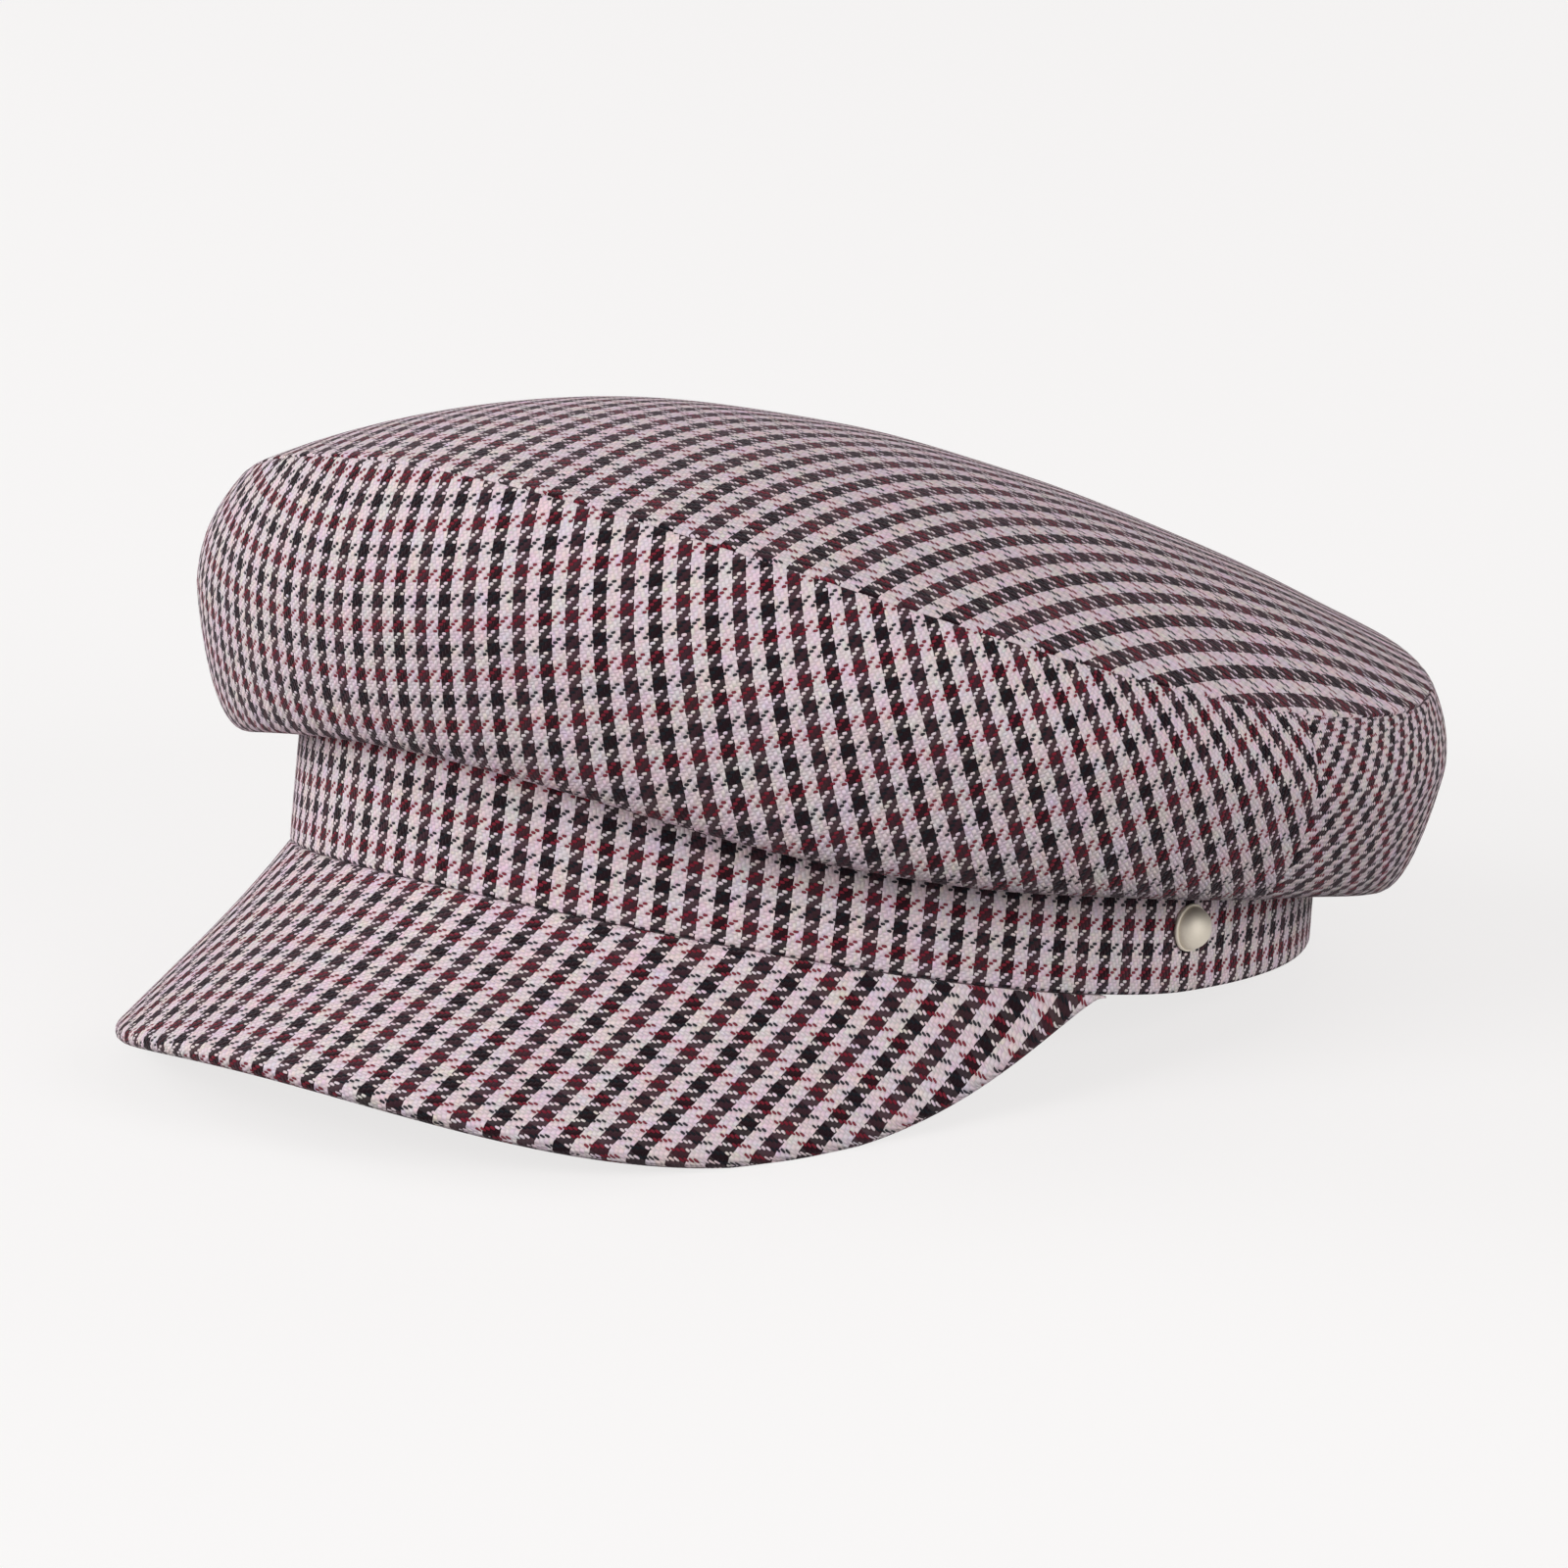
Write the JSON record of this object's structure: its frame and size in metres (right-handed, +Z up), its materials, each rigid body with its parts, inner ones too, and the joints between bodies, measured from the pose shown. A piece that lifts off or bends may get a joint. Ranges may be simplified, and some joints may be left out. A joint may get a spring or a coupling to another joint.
{
  "type": "peaked cap",
  "caption": "Soft peaked cap in checked wool cloth with a full rounded crown, an upright band, a sloping cloth-covered peak and a plain metal stud on the band.",
  "frame": {"origin": "on the table under the middle of the cap's bounding box", "axes": "+Z up, -Y towards the front of the cap (the peak), +X towards the wearer's left (the side with the stud)"},
  "size_m": [0.2314, 0.272, 0.1158],
  "materials": {
    "checked_wool": "wool twill in a houndstooth check of off-white, black and maroon",
    "metal": "satin, pale champagne"
  },
  "bodies": {
    "root": {"crown_tip": "checked_wool", "crown_front_panel": "checked_wool", "crown_back_panel": "checked_wool", "band": "checked_wool", "peak": "checked_wool", "stud": "metal"}
  },
  "joints": []
}
